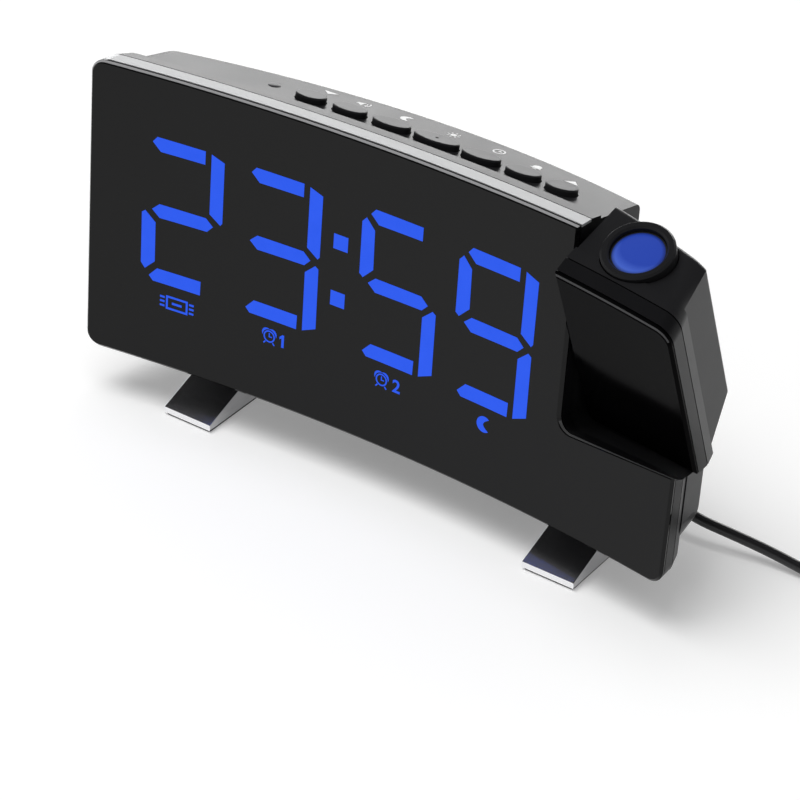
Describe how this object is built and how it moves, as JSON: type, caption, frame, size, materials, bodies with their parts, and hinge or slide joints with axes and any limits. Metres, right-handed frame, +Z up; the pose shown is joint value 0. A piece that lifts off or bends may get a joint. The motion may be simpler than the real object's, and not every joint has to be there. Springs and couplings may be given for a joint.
{
  "type": "projection alarm clock",
  "caption": "Mains-powered alarm clock with a wide curved digit display, top buttons, wedge feet and a tilting time projector in a side notch.",
  "frame": {"origin": "middle of the clock's footprint on the surface it stands on", "axes": "+X to the viewer's right along the display, +Y away from the viewer, +Z up"},
  "size_m": [0.305, 0.101, 0.1182],
  "materials": {
    "smoked_panel": "polished smoked acrylic",
    "front_frame": "moulded, satin to gloss",
    "bright_strip": "satin silver paint",
    "casing": "fine spark-eroded texture",
    "buttons": "satin top, black sides",
    "bright_feet": "bright plated with brushed sides",
    "rubber": "matt",
    "screws": "zinc plated",
    "black_inner": "plain moulded",
    "white_inner": "plain moulded",
    "diffuser": "milky, lit blue",
    "lamp": "clear cap",
    "board": "solder mask",
    "bright_metal": "nickel plated",
    "lens": "polished",
    "cord": "satin"
  },
  "bodies": {
    "clock": {"display_panel": "smoked_panel", "front_frame": "front_frame", "top_trim": "bright_strip", "rear_casing": "casing", "digit_housing": "white_inner", "digit_diffusers": "diffuser", "segment_lamps": "lamp", "display_board": "board", "main_board": "board", "key_board": "board", "display_screws": "screws", "main_board_screws": "screws", "key_board_screws": "screws", "casing_screws": "screws", "foot_screws": "screws", "key_switches": "black_inner", "light_sensor": "black_inner", "dimmer_switch": "black_inner", "supply_socket": "black_inner", "charge_tongue": "white_inner", "charge_socket": "bright_metal", "speaker_basket": "bright_metal", "speaker_magnet": "bright_metal", "speaker_cone": "black_inner", "battery_contacts": "bright_metal", "coin_cell": "bright_metal", "pivot_bushing": "black_inner", "left_foot": "bright_feet", "right_foot": "bright_feet", "foot_pads": "rubber", "supply_plug": "cord", "plug_barrel": "bright_metal", "cord_tube": "cord", "cord_coil": "cord", "cord_tie": "rubber", "far_plug": "cord", "far_plug_shell": "bright_metal"},
    "projector": {"projector_plate": "smoked_panel", "projector_frame": "front_frame", "projector_shell": "casing", "projector_screws": "screws", "pivot_shaft": "black_inner", "pivot_clip": "screws", "optics_tube": "black_inner", "condenser_lens": "lens", "image_slide": "lens", "lamp_board": "board", "projector_lamp": "lamp"},
    "focus_ring": {"focus_ring": "casing"},
    "lens_carrier": {"lens_carrier": "black_inner", "projection_lens": "lens"},
    "down_button": {"down_button": "buttons"},
    "volume_button": {"volume_button": "buttons"},
    "sleep_button": {"sleep_button": "buttons"},
    "snooze_button": {"snooze_button": "buttons"},
    "set_button": {"set_button": "buttons"},
    "alarm_button": {"alarm_button": "buttons"},
    "up_button": {"up_button": "buttons"},
    "dimmer_slider": {"dimmer_slider": "black_inner"},
    "battery_door": {"battery_door": "casing"}
  },
  "joints": [
    {"name": "projector_tilt", "type": "hinge", "parent": "clock", "child": "projector", "pos_m": [0, -0.0014, 0.07903], "axis": [1, 0, 0], "range_deg": [-115.3, 64.7]},
    {"name": "focus_turn", "type": "hinge", "parent": "projector", "child": "focus_ring", "pos_m": [0.0847, -0.00893, 0.1109], "axis": [0, -0.3469, 0.9379], "range_deg": [-60, 60]},
    {"name": "lens_slide", "type": "slide", "parent": "projector", "child": "lens_carrier", "axis": [0, -0.3469, 0.9379], "range_m": [-0.00099, 0.00099]},
    {"name": "down_press", "type": "slide", "parent": "clock", "child": "down_button", "axis": [0, -0.2402, -0.9707], "range_m": [0, 0.0006], "stiffness_N_per_m": 600},
    {"name": "volume_press", "type": "slide", "parent": "clock", "child": "volume_button", "axis": [0, -0.2402, -0.9707], "range_m": [0, 0.0006], "stiffness_N_per_m": 600},
    {"name": "sleep_press", "type": "slide", "parent": "clock", "child": "sleep_button", "axis": [0, -0.2402, -0.9707], "range_m": [0, 0.0006], "stiffness_N_per_m": 600},
    {"name": "snooze_press", "type": "slide", "parent": "clock", "child": "snooze_button", "axis": [0, -0.2402, -0.9707], "range_m": [0, 0.0006], "stiffness_N_per_m": 600},
    {"name": "set_press", "type": "slide", "parent": "clock", "child": "set_button", "axis": [0, -0.2402, -0.9707], "range_m": [0, 0.0006], "stiffness_N_per_m": 600},
    {"name": "alarm_press", "type": "slide", "parent": "clock", "child": "alarm_button", "axis": [0, -0.2402, -0.9707], "range_m": [0, 0.0006], "stiffness_N_per_m": 600},
    {"name": "up_press", "type": "slide", "parent": "clock", "child": "up_button", "axis": [0, -0.2402, -0.9707], "range_m": [0, 0.0006], "stiffness_N_per_m": 600},
    {"name": "dimmer_slide", "type": "slide", "parent": "clock", "child": "dimmer_slider", "axis": [1, 0, 0], "range_m": [-0.0023, 0.0023]},
    {"name": "door_slide", "type": "slide", "parent": "clock", "child": "battery_door", "axis": [0, -0.0872, -0.9962], "range_m": [0, 0.012]}
  ],
  "couplings": [
    {"joint": "focus_turn", "follows": "lens_slide", "rad_per_m": 1050}
  ]
}
